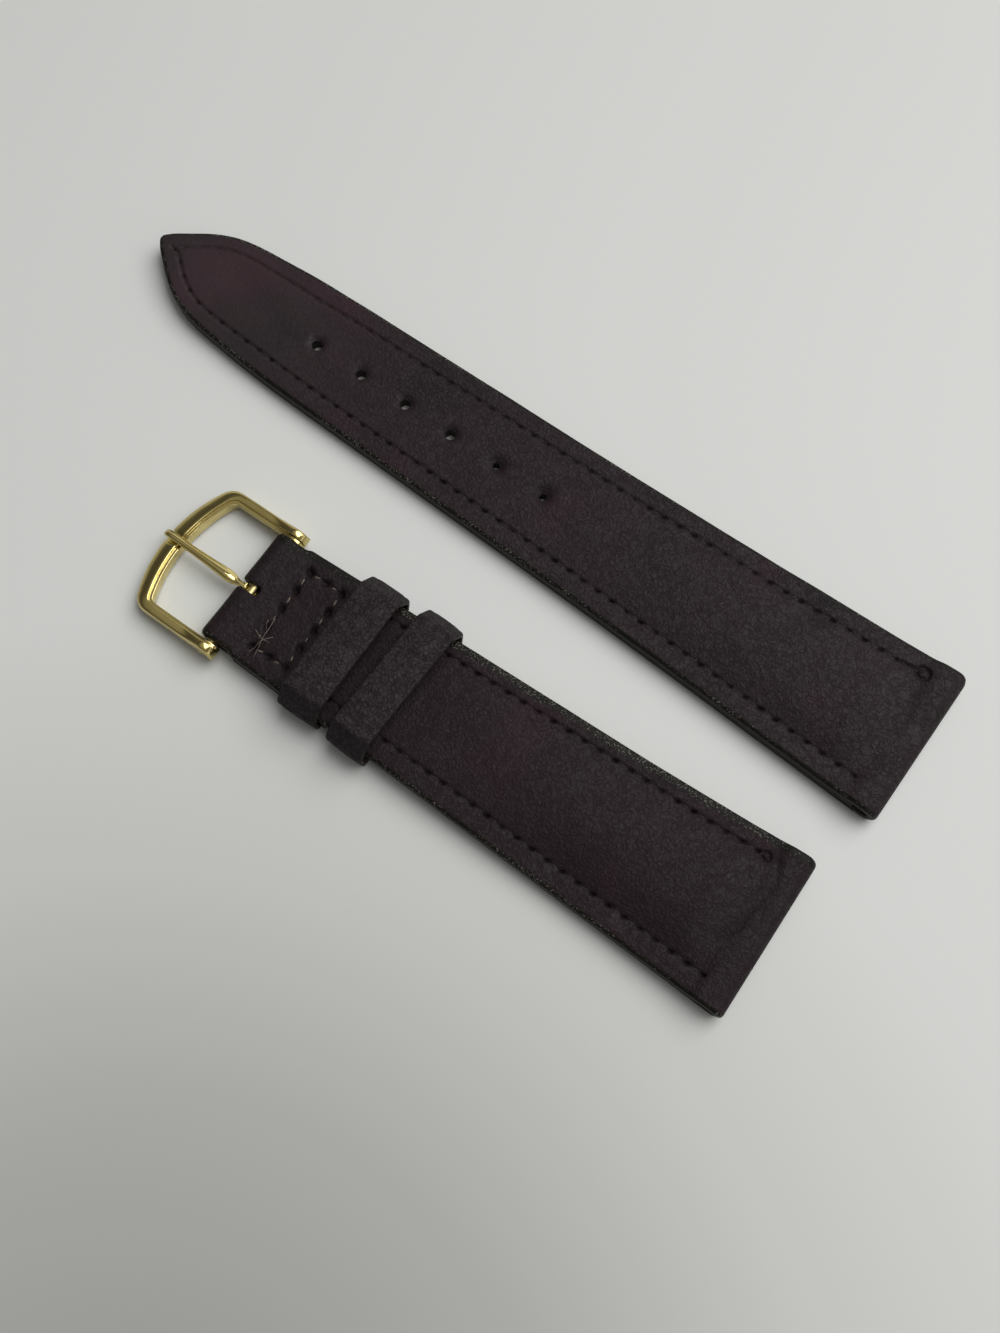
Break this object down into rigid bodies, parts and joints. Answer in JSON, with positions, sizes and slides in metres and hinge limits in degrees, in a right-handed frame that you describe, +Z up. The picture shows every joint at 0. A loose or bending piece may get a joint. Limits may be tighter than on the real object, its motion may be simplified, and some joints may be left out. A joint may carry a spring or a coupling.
{
  "type": "two-piece leather watch strap",
  "caption": "Two-piece padded leather watch strap with sewn edges, pin buckle on a spring bar, sewn and sliding keepers, and adjustment holes.",
  "frame": {"origin": "middle of the bottom of the box round both halves, on the surface that they lie on", "axes": "+X along the short half towards the watch ends, +Y from the short half to the long half, +Z up from the lining to the upper leather"},
  "size_m": [0.1132, 0.0482, 0.0057],
  "materials": {
    "upper_leather": "fine-grained calf, dark aubergine brown",
    "keeper_leather": "matte calf, dark aubergine brown",
    "lining_leather": "smooth tan lining leather",
    "core_board": "leather board",
    "padding": "felt padding",
    "thread": "waxed tone-on-tone thread",
    "gold_plate": "polished gold plate",
    "bar_steel": "drawn stainless steel",
    "spring_steel": "drawn spring wire"
  },
  "bodies": {
    "short_strap": {"short_upper_leather": "upper_leather", "short_padding": "padding", "short_core": "core_board", "short_lining": "lining_leather", "short_edge_stitching": "thread", "box_stitching": "thread", "fixed_keeper": "keeper_leather", "spring_bar_barrel": "bar_steel", "spring_bar_spring": "spring_steel"},
    "buckle_frame": {"buckle_frame": "gold_plate"},
    "buckle_tongue": {"buckle_tongue": "gold_plate"},
    "free_keeper": {"free_keeper": "keeper_leather", "free_keeper_stitch": "thread"},
    "plunger_left": {"spring_bar_plunger_left": "bar_steel"},
    "plunger_right": {"spring_bar_plunger_right": "bar_steel"},
    "long_strap": {"long_upper_leather": "upper_leather", "long_padding": "padding", "long_core": "core_board", "long_lining": "lining_leather", "long_edge_stitching": "thread"}
  },
  "joints": [
    {"name": "buckle_hinge", "type": "hinge", "parent": "short_strap", "child": "buckle_frame", "pos_m": [-0.01722, -0.01409, 0.00171], "axis": [0, 1, 0], "range_deg": [-90, 45]},
    {"name": "tongue_hinge", "type": "hinge", "parent": "buckle_frame", "child": "buckle_tongue", "pos_m": [-0.01722, -0.01409, 0.00171], "axis": [0, 1, 0], "range_deg": [0, 80]},
    {"name": "free_keeper_slide", "type": "slide", "parent": "short_strap", "child": "free_keeper", "axis": [1, 0, 0], "range_m": [-0.0014, 0.003]},
    {"name": "left_plunger_press", "type": "slide", "parent": "short_strap", "child": "plunger_left", "axis": [0, 1, 0], "range_m": [0, 0.00132], "stiffness_N_per_m": 300, "springref_m": -0.002, "deforming": ["spring_bar_spring"]},
    {"name": "right_plunger_press", "type": "slide", "parent": "short_strap", "child": "plunger_right", "axis": [0, -1, 0], "range_m": [0, 0.00132], "stiffness_N_per_m": 300, "springref_m": -0.002, "deforming": ["spring_bar_spring"]},
    {"name": "long_half_lift", "type": "slide", "parent": "short_strap", "child": "long_strap", "axis": [0, 0, 1], "range_m": [0, 0.03]}
  ]
}
